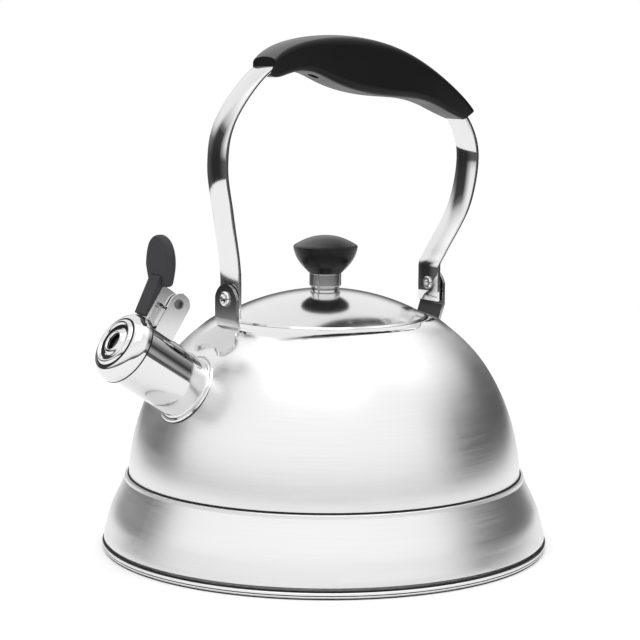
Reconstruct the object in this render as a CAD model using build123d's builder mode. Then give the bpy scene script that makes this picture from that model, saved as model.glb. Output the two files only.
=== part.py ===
"""Stovetop whistling kettle: drum body with a domed top, lift-off lid, folding
strap handle and a spout closed by a sprung whistle cap. Millimetres, +Z up,
+X towards the spout, origin at the centre of the base underside."""
import os
from math import cos, hypot, radians, sin, sqrt

from build123d import *

os.makedirs("parts", exist_ok=True)

# ---- driving dimensions -------------------------------------------------
SHEET = 1.0              # body sheet
FIT = 0.05               # radial clearance of a running fit

BASE_R = 110.0           # widest radius, at the base cap
CAP_WALL_Z = 3.4         # top of the base cap's rim band
FLOOR_Z = 3.8            # underside of the kettle floor
SEAM_Z = 36.2            # seam between the skirt and the dome
SEAM_R = 98.5

OPENING_R = 51.0         # hole in the dome for the lid
DOME_TOP_Z = 113.8
NECK_R = 44.7            # outside of the collar's neck
LEDGE_Z = 111.2          # top of the ledge that the lid rests on
LID_R = 49.4
LID_APEX_Z = 126.7
LID_SHEET = 0.9
LID_SPHERE_R = 101.7     # radius of the lid's domed face
KNOB_R = 15.8
KNOB_TOP_Z = 153.4
SCREW_R = 2.0

SPOUT_TILT = 33.5        # spout axis above the horizontal, degrees
SPOUT_ORIGIN_Z = 31.5    # where the spout axis crosses the kettle axis
SPOUT_R = 15.3
MOUTH_S = 135.0          # distance along the spout axis to the cap's rim plane
ROOT_S = 92.5
CAP_R = 17.0
HINGE_T = -8.9           # hinge pin from the rim plane, along the spout axis
HINGE_H = 30.1           # hinge pin above the spout axis
PIN_R = 2.4

PIVOT_Z = 126.0          # both handle pivots
STRAP_W = 16.0
STRAP_T = 1.8
FRONT_STRAP_X = 56.4     # outer face of the strap at the front pivot
REAR_STRAP_X = -66.3
EAR_T = 1.5
EAR_HALF = 9.2
WASHER_T = 0.5
RIVET_R = 2.5


# ---- reference planes ---------------------------------------------------
AXIS_X = cos(radians(SPOUT_TILT))
AXIS_Z = sin(radians(SPOUT_TILT))


def spout_plane(distance):
    """Plane square to the spout axis, its local y pointing up and back."""
    origin = (distance * AXIS_X, 0, SPOUT_ORIGIN_Z + distance * AXIS_Z)
    return Plane(origin=origin, x_dir=(0, 1, 0), z_dir=(AXIS_X, 0, AXIS_Z))


def spout_side(distance=MOUTH_S, y=0.0):
    """Plane through the spout axis: local x along the axis, local y up and back."""
    origin = (distance * AXIS_X, y, SPOUT_ORIGIN_Z + distance * AXIS_Z)
    return Plane(origin=origin, x_dir=(AXIS_X, 0, AXIS_Z), z_dir=(0, -1, 0))


SPOUT_AXIS = Axis((0, 0, SPOUT_ORIGIN_Z), (AXIS_X, 0, AXIS_Z))
RIM_X = MOUTH_S * AXIS_X
RIM_Z = SPOUT_ORIGIN_Z + MOUTH_S * AXIS_Z
PIN_X = RIM_X + HINGE_T * AXIS_X - HINGE_H * AXIS_Z
PIN_Z = RIM_Z + HINGE_T * AXIS_Z + HINGE_H * AXIS_X


def save(builder, name):
    builder.part.label = name
    export_step(builder.part, f"parts/{name}.step")
    print(f"{name:18s} solids {len(builder.part.solids())}  volume {builder.part.volume:10.1f}")


def moved_left(points, distance, ends):
    """Outline points moved square to the outline, to the left; ends are its end directions."""
    moved = []
    last = len(points) - 1
    for index, (x, z) in enumerate(points):
        if index == 0:
            run, rise = ends[0]
        elif index == last:
            run, rise = ends[1]
        else:
            run = points[index + 1][0] - points[index - 1][0]
            rise = points[index + 1][1] - points[index - 1][1]
        length = hypot(run, rise)
        moved.append((x - distance * rise / length, z + distance * run / length))
    return moved


def skin(points, thickness, ends):
    """Closed strip between a smooth outline and the same outline moved to its left."""
    moved = moved_left(points, thickness, ends)
    Spline(*points, tangents=ends)
    Line(points[-1], moved[-1])
    Spline(*moved, tangents=ends)
    Line(points[0], moved[0])


# ---- body shell ---------------------------------------------------------
DOME_OUTLINE = [(96.7, SEAM_Z), (95.3, 50.0), (91.2, 65.7), (84.5, 80.9), (74.0, 96.3), (59.4, 109.6),
                (OPENING_R, DOME_TOP_Z)]
DOME_ENDS = [(0, 1), (-1, 0.3)]
DOME_FOOT_Z = 33.2       # the dome's edge sits inside the skirt's hem

with BuildPart() as upper_dome:
    with BuildSketch(Plane.XZ):
        with BuildLine():
            inner = moved_left(DOME_OUTLINE, SHEET, DOME_ENDS)
            Spline(*DOME_OUTLINE, tangents=DOME_ENDS)
            Line(DOME_OUTLINE[-1], inner[-1])
            Spline(*inner, tangents=DOME_ENDS)
            Polyline(inner[0], (inner[0][0], DOME_FOOT_Z), (DOME_OUTLINE[0][0], DOME_FOOT_Z), DOME_OUTLINE[0])
        make_face()
    revolve(axis=Axis.Z)
    with BuildSketch(Plane.XY.offset(SEAM_Z)):
        Circle(OPENING_R)
    extrude(amount=DOME_TOP_Z, mode=Mode.SUBTRACT)
    with BuildSketch(spout_plane(ROOT_S - 20)):
        Circle(SPOUT_R)
    extrude(amount=60, mode=Mode.SUBTRACT)
save(upper_dome, "upper_dome")

HEM_R = 96.8             # inside of the skirt's rolled hem
SKIRT_OUTLINE = [(SEAM_R, SEAM_Z - 1.0), (101.4, 28.6), (104.2, 22.9), (106.6, 16.8), (108.2, 10.4), (109.3, 5.4)]
SKIRT_ENDS = [(0.4, -1), (0.12, -1)]
SKIRT_INNER = moved_left(SKIRT_OUTLINE, -SHEET, SKIRT_ENDS)

with BuildPart() as lower_skirt:
    with BuildSketch(Plane.XZ):
        with BuildLine():
            Spline(*SKIRT_OUTLINE, tangents=SKIRT_ENDS)
            Line(SKIRT_OUTLINE[-1], (107.9, FLOOR_Z))
            Polyline((107.9, FLOOR_Z), (0, FLOOR_Z), (0, FLOOR_Z + SHEET), (107.4, FLOOR_Z + SHEET), SKIRT_INNER[-1])
            Spline(*SKIRT_INNER, tangents=SKIRT_ENDS)
            Line(SKIRT_OUTLINE[0], SKIRT_INNER[0])
        make_face()
    revolve(axis=Axis.Z)
    with BuildSketch(Plane.XZ):
        with BuildLine():
            Polyline((HEM_R, SEAM_Z), (HEM_R, SEAM_Z - 1.6), (SEAM_R - 0.4, SEAM_Z - 2.6),
                     (SEAM_R + 0.4, SEAM_Z - 2.2), (SEAM_R, SEAM_Z), close=True)
        make_face()
    revolve(axis=Axis.Z)
    fillet(lower_skirt.edges().filter_by(GeomType.CIRCLE).group_by(Axis.Z)[-1], 0.4)
save(lower_skirt, "lower_skirt")

DISC_T = 2.8
with BuildPart() as heat_disc:
    with BuildSketch(Plane.XY.offset(FLOOR_Z - DISC_T)):
        Circle(BASE_R - 2.2)
    extrude(amount=DISC_T)
save(heat_disc, "heat_disc")

BASE_SHEET = 0.9
GROOVE_Z = 1.9
with BuildPart() as base_cap:
    with BuildSketch(Plane.XZ):
        with BuildLine():
            Polyline((0, 0), (BASE_R - 1.2, 0), (BASE_R, 1.2), (BASE_R, GROOVE_Z - 0.25), (BASE_R - 0.4, GROOVE_Z),
                     (BASE_R, GROOVE_Z + 0.25), (BASE_R, CAP_WALL_Z - 0.3), (BASE_R - 0.3, CAP_WALL_Z),
                     (BASE_R - 1.3, CAP_WALL_Z), (BASE_R - 1.3, BASE_SHEET), (0, BASE_SHEET), close=True)
        make_face()
    revolve(axis=Axis.Z)
save(base_cap, "base_cap")

COLLAR_T = 0.8
NECK_FOOT_Z = 104.0
with BuildPart() as lid_collar:
    with BuildSketch(Plane.XZ):
        with BuildLine():
            Polyline((OPENING_R, DOME_TOP_Z - 0.2), (OPENING_R, LEDGE_Z - COLLAR_T), (NECK_R, LEDGE_Z - COLLAR_T),
                     (NECK_R, NECK_FOOT_Z), (NECK_R - COLLAR_T, NECK_FOOT_Z), (NECK_R - COLLAR_T, LEDGE_Z),
                     (OPENING_R - COLLAR_T, LEDGE_Z), (OPENING_R - COLLAR_T, DOME_TOP_Z - 0.2), close=True)
        make_face()
    revolve(axis=Axis.Z)
    fillet(lid_collar.edges().filter_by(GeomType.CIRCLE).group_by(Axis.Z)[-1], 0.3)
save(lid_collar, "lid_collar")

# ---- spout --------------------------------------------------------------
MOUTH_LAP = 2.0          # the mouth stands this far inside the whistle cap
with BuildPart() as spout_tube:
    with BuildSketch(spout_plane(ROOT_S)):
        Circle(SPOUT_R)
        Circle(SPOUT_R - SHEET, mode=Mode.SUBTRACT)
    extrude(amount=MOUTH_S + MOUTH_LAP - ROOT_S)
    fillet(spout_tube.edges().filter_by(GeomType.CIRCLE).sort_by(Axis.X)[-2:], 0.4)
save(spout_tube, "spout_tube")

FLANGE_R = 17.8
FLANGE_S = 97.2          # front face of the flange, along the spout axis
with BuildPart() as spout_flange:
    with BuildSketch(spout_side(0)):
        with BuildLine():
            Polyline((FLANGE_S - 8, SPOUT_R), (FLANGE_S - 8, FLANGE_R), (FLANGE_S - 0.6, FLANGE_R))
            Line((FLANGE_S - 0.6, FLANGE_R), (FLANGE_S, FLANGE_R - 0.6))
            Line((FLANGE_S, FLANGE_R - 0.6), (FLANGE_S, SPOUT_R + 1.0))
            ThreePointArc((FLANGE_S, SPOUT_R + 1.0), (FLANGE_S + 0.3, SPOUT_R + 0.3), (FLANGE_S + 1.0, SPOUT_R))
            Line((FLANGE_S + 1.0, SPOUT_R), (FLANGE_S - 8, SPOUT_R))
        make_face()
    revolve(axis=SPOUT_AXIS)
    with BuildSketch(Plane.XZ):
        with BuildLine():
            Spline(*DOME_OUTLINE, tangents=DOME_ENDS)
            Polyline((OPENING_R, DOME_TOP_Z), (0, DOME_TOP_Z), (0, SEAM_Z), (96.7, SEAM_Z))
        make_face()
    revolve(axis=Axis.Z, mode=Mode.SUBTRACT)
save(spout_flange, "spout_flange")

# ---- whistle cap hinge --------------------------------------------------
HINGE_EAR_R = 5.2
HINGE_EAR_Y = 6.5        # outer faces of the fixed ears
HINGE_EAR_T = 1.2
HINGE_BACK_T = -15.2
HINGE_FRONT_T = -4.2
SADDLE_R = SPOUT_R + 0.05

with BuildPart() as hinge_bracket:
    with BuildSketch(spout_side()):
        with BuildLine():
            Polyline((HINGE_FRONT_T, HINGE_H), (HINGE_FRONT_T, 10), (HINGE_BACK_T, 10), (HINGE_BACK_T, HINGE_H - 1))
            ThreePointArc((HINGE_BACK_T, HINGE_H - 1), (HINGE_T - 0.5, HINGE_H + HINGE_EAR_R), (HINGE_FRONT_T, HINGE_H))
        make_face()
    extrude(amount=HINGE_EAR_Y, both=True)
    with BuildSketch(spout_plane(MOUTH_S + HINGE_BACK_T - 1)):
        Circle(SADDLE_R)
    extrude(amount=20, mode=Mode.SUBTRACT)
    with BuildSketch(spout_plane(MOUTH_S + HINGE_BACK_T - 1)):
        with Locations((0, SADDLE_R + HINGE_EAR_T + 15)):
            Rectangle(2 * (HINGE_EAR_Y - HINGE_EAR_T), 30)
    extrude(amount=20, mode=Mode.SUBTRACT)
    with BuildSketch(spout_side()):
        with Locations((HINGE_T, HINGE_H)):
            Circle(PIN_R)
    extrude(amount=HINGE_EAR_Y + 1, both=True, mode=Mode.SUBTRACT)
save(hinge_bracket, "hinge_bracket")

with BuildPart() as hinge_pin:
    with BuildSketch(spout_side()):
        with Locations((HINGE_T, HINGE_H)):
            Circle(PIN_R)
    extrude(amount=HINGE_EAR_Y + 0.3, both=True)
    with BuildSketch(spout_side(y=HINGE_EAR_Y + 0.3), spout_side(y=-HINGE_EAR_Y - 0.3)):
        with Locations((HINGE_T, HINGE_H)):
            Circle(PIN_R - 0.8)
    extrude(amount=1.2, both=True, mode=Mode.SUBTRACT)
save(hinge_pin, "hinge_pin")

# ---- whistle cap --------------------------------------------------------
CAP_SHEET = 0.8
CAP_OUTLINE = [(1.4, CAP_R), (5.0, 15.7), (7.6, 12.9)]
BEAD_R = 10.3
NOZZLE_R = 4.3

with BuildPart() as whistle_cap:
    with BuildSketch(spout_side()):
        with BuildLine():
            Line((0, CAP_R), (1.4, CAP_R))
            Spline(*CAP_OUTLINE, (8.5, BEAD_R + 0.9), tangents=[(1, 0), (0.25, -1)])
            ThreePointArc((8.5, BEAD_R + 0.9), (9.4, BEAD_R), (8.5, BEAD_R - 0.9))
            Spline((8.5, BEAD_R - 0.9), (7.0, 7.6), (8.9, 4.9), tangents=[(-1, -0.6), (1, -0.5)])
            lip = ThreePointArc((8.9, 4.9), (8.9, 4.5), (8.4, NOZZLE_R))
            Polyline(lip @ 1, (7.5, NOZZLE_R), (7.5, 5.0), (6.2, 7.6), (7.4, 9.4), (6.8, 12.2), (4.4, 14.9),
                     (1.2, CAP_R - CAP_SHEET), (0, CAP_R - CAP_SHEET), (0, CAP_R))
        make_face()
    revolve(axis=SPOUT_AXIS)
save(whistle_cap, "whistle_cap")

with BuildPart() as whistle_plate:
    with BuildSketch(spout_side()):
        with BuildLine():
            Polyline((6.2, 1.1), (6.2, 9.4), (5.6, 9.4), (5.6, 1.1), close=True)
        make_face()
    revolve(axis=SPOUT_AXIS)
save(whistle_plate, "whistle_plate")

with BuildPart() as whistle_cup:
    with BuildSketch(spout_side()):
        with BuildLine():
            Polyline((1.4, 1.1), (1.4, 9.4), (3.6, 9.4), (3.6, 14.9), (4.2, 14.9), (4.2, 9.4),
                     (5.6, 9.4), (5.6, 8.8), (2.0, 8.8), (2.0, 1.1), close=True)
        make_face()
    revolve(axis=SPOUT_AXIS)
save(whistle_cup, "whistle_cup")

LEVER_Y = 4.7            # outer faces of the moving ears
LEVER_EAR_T = 1.1
LEVER_EAR_R = 3.7
LEVER_TOP_H = 34.0
WEB_T0 = 0.9             # back of the web
WEB_T1 = 2.1
with BuildPart() as lever_plate:
    with BuildSketch(spout_side()):
        with BuildLine():
            Polyline((HINGE_T, HINGE_H + LEVER_EAR_R), (WEB_T1, LEVER_TOP_H), (WEB_T1, CAP_R - 2), (WEB_T0, CAP_R - 2),
                     (WEB_T0, HINGE_H - LEVER_EAR_R), (HINGE_T, HINGE_H - LEVER_EAR_R))
            ThreePointArc((HINGE_T, HINGE_H - LEVER_EAR_R), (HINGE_T - LEVER_EAR_R, HINGE_H),
                          (HINGE_T, HINGE_H + LEVER_EAR_R))
        make_face()
    extrude(amount=LEVER_Y, both=True)
    with BuildSketch(spout_side()):
        with Locations((WEB_T0 - 15, HINGE_H)):
            Rectangle(30, 20)
    extrude(amount=LEVER_Y - LEVER_EAR_T, both=True, mode=Mode.SUBTRACT)
    with BuildSketch(spout_plane(MOUTH_S - 1)):
        Circle(CAP_R + 0.02)
    extrude(amount=5, mode=Mode.SUBTRACT)
    with BuildSketch(spout_side()):
        with Locations((HINGE_T, HINGE_H)):
            Circle(PIN_R + FIT)
    extrude(amount=LEVER_Y + 1, both=True, mode=Mode.SUBTRACT)
save(lever_plate, "lever_plate")

# Thumb lever: a flat arm up the front of the plate and an egg-shaped pad.
ARM_Y = 4.6
PAD_HALF = 10.4
PAD_X = 94.3             # middle of the pad
PAD_LOW_Z = 135.6
PAD_FOOT = 7.6           # half width of its lower edge
PAD_TOP_Z = 158.4
PAD_T = 5.2
with BuildPart() as thumb_lever:
    with BuildSketch(Plane.YZ.offset(PAD_X - PAD_T / 2)) as outline:
        with BuildLine():
            Spline((PAD_FOOT, PAD_LOW_Z - 1), (PAD_HALF, 145.2), (7.6, 154.6), (0, PAD_TOP_Z), (-7.6, 154.6),
                   (-PAD_HALF, 145.2), (-PAD_FOOT, PAD_LOW_Z - 1), tangents=[(0.3, 1), (0.3, -1)])
            Line((-PAD_FOOT, PAD_LOW_Z - 1), (PAD_FOOT, PAD_LOW_Z - 1))
        make_face()
        fillet(outline.vertices(), 2.2)
    extrude(amount=PAD_T)
    fillet(thumb_lever.edges().group_by(Axis.X)[-1] + thumb_lever.edges().group_by(Axis.X)[0], 2.0)
    with BuildSketch(spout_side()):
        with BuildLine():
            Polyline((WEB_T1 + 0.02, CAP_R + 0.6), (WEB_T1 + 0.02, 37.5), (6.0, 36.5), (3.6, CAP_R + 0.6), close=True)
        make_face()
    extrude(amount=ARM_Y, both=True)
    add(lever_plate.part, mode=Mode.SUBTRACT)
save(thumb_lever, "thumb_lever")

SPRING_WIRE_R = 0.45
SPRING_R = 3.3
SPRING_TURNS = 3
SPRING_PITCH = 1.15
FRONT_LEG = 6.0          # straight ends of the wire
REAR_LEG = 8.0
with BuildPart() as return_spring:
    with BuildLine():
        coil = Helix(pitch=SPRING_PITCH, height=SPRING_PITCH * SPRING_TURNS, radius=SPRING_R,
                     center=(PIN_X, -SPRING_PITCH * SPRING_TURNS / 2, PIN_Z), direction=(0, 1, 0))
    with BuildSketch(Plane(origin=coil @ 0, z_dir=coil % 0)):
        Circle(SPRING_WIRE_R)
    sweep(path=coil, is_frenet=True)
    with BuildSketch(Plane(origin=coil @ 1, z_dir=coil % 1)):
        Circle(SPRING_WIRE_R)
    extrude(amount=FRONT_LEG)
    with BuildSketch(Plane(origin=coil @ 0, z_dir=-(coil % 0))):
        Circle(SPRING_WIRE_R)
    extrude(amount=REAR_LEG)
save(return_spring, "return_spring")

# ---- lid ----------------------------------------------------------------
def lid_face_z(radius, sphere=LID_SPHERE_R):
    """Height of the lid's domed face, or of a sphere inside it, at a radius."""
    centre_z = LID_APEX_Z + 0.3 - LID_SPHERE_R
    return centre_z + sqrt(sphere**2 - radius**2)


BOSS_R = 8.0             # flat middle of the lid, under the knob
LID_LIP_Z = LEDGE_Z + 0.3
LID_CORNER_R = 48.7
INNER_SPHERE_R = LID_SPHERE_R - LID_SHEET
with BuildPart() as lid_dome:
    with BuildSketch(Plane.XZ):
        with BuildLine():
            Line((SCREW_R + 0.3, LID_APEX_Z), (BOSS_R, LID_APEX_Z))
            ThreePointArc((BOSS_R, LID_APEX_Z), (30, lid_face_z(30)), (LID_CORNER_R, lid_face_z(LID_CORNER_R)))
            Polyline((LID_CORNER_R, lid_face_z(LID_CORNER_R)), (LID_R, lid_face_z(LID_CORNER_R) - 0.9),
                     (LID_R, LID_LIP_Z), (LID_R - LID_SHEET, LID_LIP_Z),
                     (LID_R - LID_SHEET, lid_face_z(48, INNER_SPHERE_R) - 0.4), (48, lid_face_z(48, INNER_SPHERE_R)))
            ThreePointArc((48, lid_face_z(48, INNER_SPHERE_R)), (30, lid_face_z(30, INNER_SPHERE_R)),
                          (BOSS_R, LID_APEX_Z - LID_SHEET))
            Polyline((BOSS_R, LID_APEX_Z - LID_SHEET), (SCREW_R + 0.3, LID_APEX_Z - LID_SHEET),
                     (SCREW_R + 0.3, LID_APEX_Z))
        make_face()
    revolve(axis=Axis.Z)
save(lid_dome, "lid_dome")

SKIRT_R = 43.0           # outside of the lid's locating skirt
with BuildPart() as lid_skirt:
    with BuildSketch(Plane.XZ):
        with BuildLine():
            Polyline((SKIRT_R - 0.8, 105.5), (SKIRT_R, 105.5), (SKIRT_R, lid_face_z(SKIRT_R, INNER_SPHERE_R) - 1.0),
                     (SKIRT_R + 3, lid_face_z(SKIRT_R + 3, INNER_SPHERE_R) - 1.0),
                     (SKIRT_R + 3, lid_face_z(SKIRT_R + 3, INNER_SPHERE_R) - 0.1),
                     (SKIRT_R - 0.8, lid_face_z(SKIRT_R - 0.8, INNER_SPHERE_R) - 0.1), close=True)
        make_face()
    revolve(axis=Axis.Z)
save(lid_skirt, "lid_skirt")

KNOB_WASHER_TOP = LID_APEX_Z + 1.9
FERRULE_TOP = 134.9
STEM_R = 6.5
INSERT_R = 3.2
INSERT_TOP = 142.0
with BuildPart() as knob_washer:
    with BuildSketch(Plane.XY.offset(LID_APEX_Z)):
        Circle(6.9)
        Circle(SCREW_R + 0.3, mode=Mode.SUBTRACT)
    extrude(amount=KNOB_WASHER_TOP - LID_APEX_Z)
    fillet(knob_washer.edges().filter_by(GeomType.CIRCLE).group_by(Axis.Z)[-1].sort_by(SortBy.RADIUS)[-1], 0.6)
save(knob_washer, "knob_washer")

with BuildPart() as knob_ferrule:
    with BuildSketch(Plane.XY.offset(KNOB_WASHER_TOP)):
        Circle(7.8)
        Circle(STEM_R, mode=Mode.SUBTRACT)
    extrude(amount=FERRULE_TOP - KNOB_WASHER_TOP)
    fillet(knob_ferrule.edges().filter_by(GeomType.CIRCLE).sort_by(SortBy.RADIUS)[-2:], 0.4)
save(knob_ferrule, "knob_ferrule")

with BuildPart() as knob:
    with BuildSketch(Plane.XZ):
        with BuildLine():
            Spline((7.9, FERRULE_TOP), (10.7, 137.7), (13.6, 141.4), (15.2, 145.0), (KNOB_R, 148.0))
            Line((KNOB_R, 148.0), (KNOB_R - 0.5, 148.7))
            Spline((KNOB_R - 0.5, 148.7), (8.0, 152.2), (0, KNOB_TOP_Z), tangents=[(-0.85, 0.5), (-1, 0)])
            Polyline((0, KNOB_TOP_Z), (0, FERRULE_TOP), (7.9, FERRULE_TOP))
        make_face()
    revolve(axis=Axis.Z)
    with BuildSketch(Plane.XY.offset(KNOB_WASHER_TOP)):
        Circle(STEM_R)
    extrude(amount=FERRULE_TOP - KNOB_WASHER_TOP)
    with BuildSketch(Plane.XY.offset(KNOB_WASHER_TOP)):
        Circle(INSERT_R)
    extrude(amount=INSERT_TOP - KNOB_WASHER_TOP, mode=Mode.SUBTRACT)
save(knob, "knob")

with BuildPart() as knob_insert:
    with BuildSketch(Plane.XY.offset(KNOB_WASHER_TOP + 0.4)):
        Circle(INSERT_R)
        Circle(SCREW_R, mode=Mode.SUBTRACT)
    extrude(amount=INSERT_TOP - KNOB_WASHER_TOP - 1.0)
save(knob_insert, "knob_insert")

LID_UNDER_Z = LID_APEX_Z - LID_SHEET
with BuildPart() as lid_screw_washer:
    with BuildSketch(Plane.XY.offset(LID_UNDER_Z - 1.0)):
        Circle(6.5)
        Circle(SCREW_R + 0.2, mode=Mode.SUBTRACT)
    extrude(amount=1.0)
save(lid_screw_washer, "lid_screw_washer")

SCREW_HEAD_Z = LID_UNDER_Z - 1.0
with BuildPart() as knob_screw:
    with BuildSketch(Plane.XY.offset(SCREW_HEAD_Z - 2.4)):
        Circle(3.8)
    extrude(amount=2.4)
    fillet(knob_screw.edges().group_by(Axis.Z)[0], 0.8)
    with BuildSketch(Plane.XY.offset(SCREW_HEAD_Z)):
        Circle(SCREW_R)
    extrude(amount=14)
    with BuildSketch(Plane.XY.offset(SCREW_HEAD_Z - 2.4)):
        Rectangle(4.6, 0.9)
        Rectangle(0.9, 4.6)
    extrude(amount=1.3, mode=Mode.SUBTRACT)
save(knob_screw, "knob_screw")

# ---- handle brackets, rivets and washers --------------------------------
EAR_TOP_Z = 133.0
LOBE_OUT = 11.4          # foot lobes reach this far out from the fold
FRONT_EAR_X = FRONT_STRAP_X + WASHER_T + 0.1 + EAR_T
REAR_EAR_X = -(REAR_STRAP_X - WASHER_T - 0.1 - EAR_T)


def handle_bracket(ear_x, neck_z, fold_x, fold_z):
    """Pressed bracket on the +X side: a butterfly foot on the dome and an upright ear."""
    with BuildPart() as bracket:
        with BuildSketch(Plane.XZ):
            with BuildLine():
                skin(DOME_OUTLINE, -EAR_T, DOME_ENDS)
            make_face()
        revolve(axis=Axis.Z)
        with BuildSketch(Plane.XY):
            with BuildLine():
                edge = Spline((fold_x - 0.8, EAR_HALF), (fold_x + 3.0, 11.0), (fold_x + 6.8, 15.0),
                              (fold_x + LOBE_OUT, 11.2), (fold_x + LOBE_OUT - 1.6, 0),
                              tangents=[(1, 0), (0, -1)])
                mirror(edge, about=Plane.XZ)
                Line((fold_x - 0.8, EAR_HALF), (fold_x - 0.8, -EAR_HALF))
            make_face()
        extrude(amount=200, mode=Mode.INTERSECT)
        with BuildSketch(Plane.XZ):
            with BuildLine():
                Polyline((ear_x, EAR_TOP_Z + 1), (ear_x, neck_z), (fold_x, fold_z), (fold_x - EAR_T, fold_z + 0.3),
                         (ear_x - EAR_T, neck_z), (ear_x - EAR_T, EAR_TOP_Z + 1), close=True)
            make_face()
        extrude(amount=EAR_HALF, both=True)
        with BuildSketch(Plane.YZ.offset(ear_x - 6)):
            with BuildLine():
                ThreePointArc((-EAR_HALF, PIVOT_Z + 0.2), (0, EAR_TOP_Z), (EAR_HALF, PIVOT_Z + 0.2))
                Polyline((EAR_HALF, PIVOT_Z + 0.2), (EAR_HALF, EAR_TOP_Z + 3), (-EAR_HALF, EAR_TOP_Z + 3),
                         (-EAR_HALF, PIVOT_Z + 0.2))
            make_face()
        extrude(amount=12, mode=Mode.SUBTRACT)
        with BuildSketch(Plane.YZ.offset(ear_x - 6)):
            with Locations((0, PIVOT_Z)):
                Circle(RIVET_R)
        extrude(amount=12, mode=Mode.SUBTRACT)
    return bracket


front_bracket = handle_bracket(FRONT_EAR_X, neck_z=116.4, fold_x=57.4, fold_z=112.1)
save(front_bracket, "front_bracket")
rear_bracket = handle_bracket(REAR_EAR_X, neck_z=115.4, fold_x=65.3, fold_z=106.6)
rear_bracket.part = mirror(rear_bracket.part, about=Plane.YZ)
save(rear_bracket, "rear_bracket")


def handle_rivet(strap_inner_x, ear_x):
    """Semi-tubular rivet along X: dished head outside the ear, rolled tail inside the strap."""
    with BuildPart() as rivet:
        with BuildSketch(Plane.XZ):
            with BuildLine():
                Polyline((strap_inner_x - 1.0, 1.5), (strap_inner_x - 1.0, 2.7), (strap_inner_x - 0.6, 3.1),
                         (strap_inner_x - 0.1, 3.1), (strap_inner_x - 0.1, RIVET_R), (ear_x, RIVET_R), (ear_x, 3.7))
                ThreePointArc((ear_x, 3.7), (ear_x + 1.2, 3.2), (ear_x + 1.5, 2.4))
                Polyline((ear_x + 1.5, 2.4), (ear_x + 0.9, 1.4), (ear_x + 0.8, 0))
                Polyline((ear_x + 0.8, 0), (strap_inner_x + 1.6, 0), (strap_inner_x + 0.8, 1.5),
                         (strap_inner_x - 1.0, 1.5))
            make_face()
        revolve(axis=Axis.X)
    return rivet


for name, inner, ear, facing in (("front_rivet", FRONT_STRAP_X - STRAP_T, FRONT_EAR_X, 0),
                                 ("rear_rivet", -REAR_STRAP_X - STRAP_T, REAR_EAR_X, 180)):
    rivet = handle_rivet(inner, ear)
    rivet.part = Pos(0, 0, PIVOT_Z) * Rot(0, 0, facing) * rivet.part
    save(rivet, name)

for name, x in (("front_washer", FRONT_STRAP_X + 0.05), ("rear_washer", REAR_STRAP_X - 0.05 - WASHER_T)):
    with BuildPart() as washer:
        with BuildSketch(Plane.YZ.offset(x)):
            with Locations((0, PIVOT_Z)):
                Circle(6.0)
                Circle(RIVET_R, mode=Mode.SUBTRACT)
        extrude(amount=WASHER_T)
    save(washer, name)

# ---- handle -------------------------------------------------------------
STRAP_END_Z = 116.8
STRAP_OUTER = [(FRONT_STRAP_X, 134.0), (60.4, 164.5), (63.8, 189.0), (59.3, 210.6), (40.8, 232.9), (22.0, 240.2), (0.0, 242.6),
               (-30.0, 239.2), (-60.0, 227.4), (-76.5, 217.0), (-87.6, 202.2), (-90.4, 186.0), (-84.6, 162.8),
               (-70.4, 141.2),
               (REAR_STRAP_X, 133.5)]
with BuildPart() as handle_strap:
    with BuildSketch(Plane.XZ):
        with BuildLine():
            skin(STRAP_OUTER, STRAP_T, [(0, 1), (0, -1)])
        make_face()
        with BuildLine():
            Polyline((FRONT_STRAP_X, 134.0), (FRONT_STRAP_X, STRAP_END_Z), (FRONT_STRAP_X - STRAP_T, STRAP_END_Z),
                     (FRONT_STRAP_X - STRAP_T, 134.0), close=True)
        make_face()
        with BuildLine():
            Polyline((REAR_STRAP_X, 133.5), (REAR_STRAP_X, STRAP_END_Z), (REAR_STRAP_X + STRAP_T, STRAP_END_Z),
                     (REAR_STRAP_X + STRAP_T, 133.5), close=True)
        make_face()
    extrude(amount=STRAP_W / 2, both=True)
    fillet(handle_strap.edges().filter_by(Axis.X).group_by(Axis.Z)[0], 3.4)
    with BuildSketch(Plane.YZ.offset(-80)):
        with Locations((0, PIVOT_Z)):
            Circle(RIVET_R + FIT)
    extrude(amount=160, mode=Mode.SUBTRACT)

GRIP_STATIONS = [     # underside point, top point, width
    ((37.6, 231.4), (36.2, 240.2), 19.5),
    ((27.6, 232.0), (28.6, 245.4), 21.0),
    ((14.5, 232.8), (16.5, 248.9), 23.0),
    ((0.5, 227.6), (2.0, 250.4), 25.0),
    ((-15.0, 223.0), (-14.0, 249.9), 26.0),
    ((-32.0, 220.6), (-31.0, 246.8), 25.5),
    ((-48.0, 219.4), (-48.5, 240.4), 24.0),
    ((-62.0, 216.0), (-66.5, 230.4), 22.0),
    ((-72.5, 211.6), (-79.2, 221.4), 20.5),
    ((-80.4, 208.6), (-87.2, 213.9), 19.5),
]
CROWN = 1.6


def grip_section(under, top, width):
    """Rounded section of the grip between an underside point and a top point."""
    rise = Vector(top[0] - under[0], 0, top[1] - under[1])
    half = rise.length / 2
    middle = ((top[0] + under[0]) / 2, 0, (top[1] + under[1]) / 2)
    plane = Plane(origin=middle, x_dir=(0, 1, 0), z_dir=Vector(0, 1, 0).cross(rise))
    with BuildSketch(plane) as section:
        with BuildLine():
            Polyline((-width / 2, half - CROWN), (-width / 2 + 1.5, -half), (width / 2 - 1.5, -half),
                     (width / 2, half - CROWN))
            ThreePointArc((width / 2, half - CROWN), (0, half), (-width / 2, half - CROWN))
        make_face()
        fillet(section.vertices(), 0.22 * half + 1.0)
    return section.sketch


with BuildPart() as grip_body:
    for under, top, width in GRIP_STATIONS:
        add(grip_section(under, top, width))
    loft()

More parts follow.
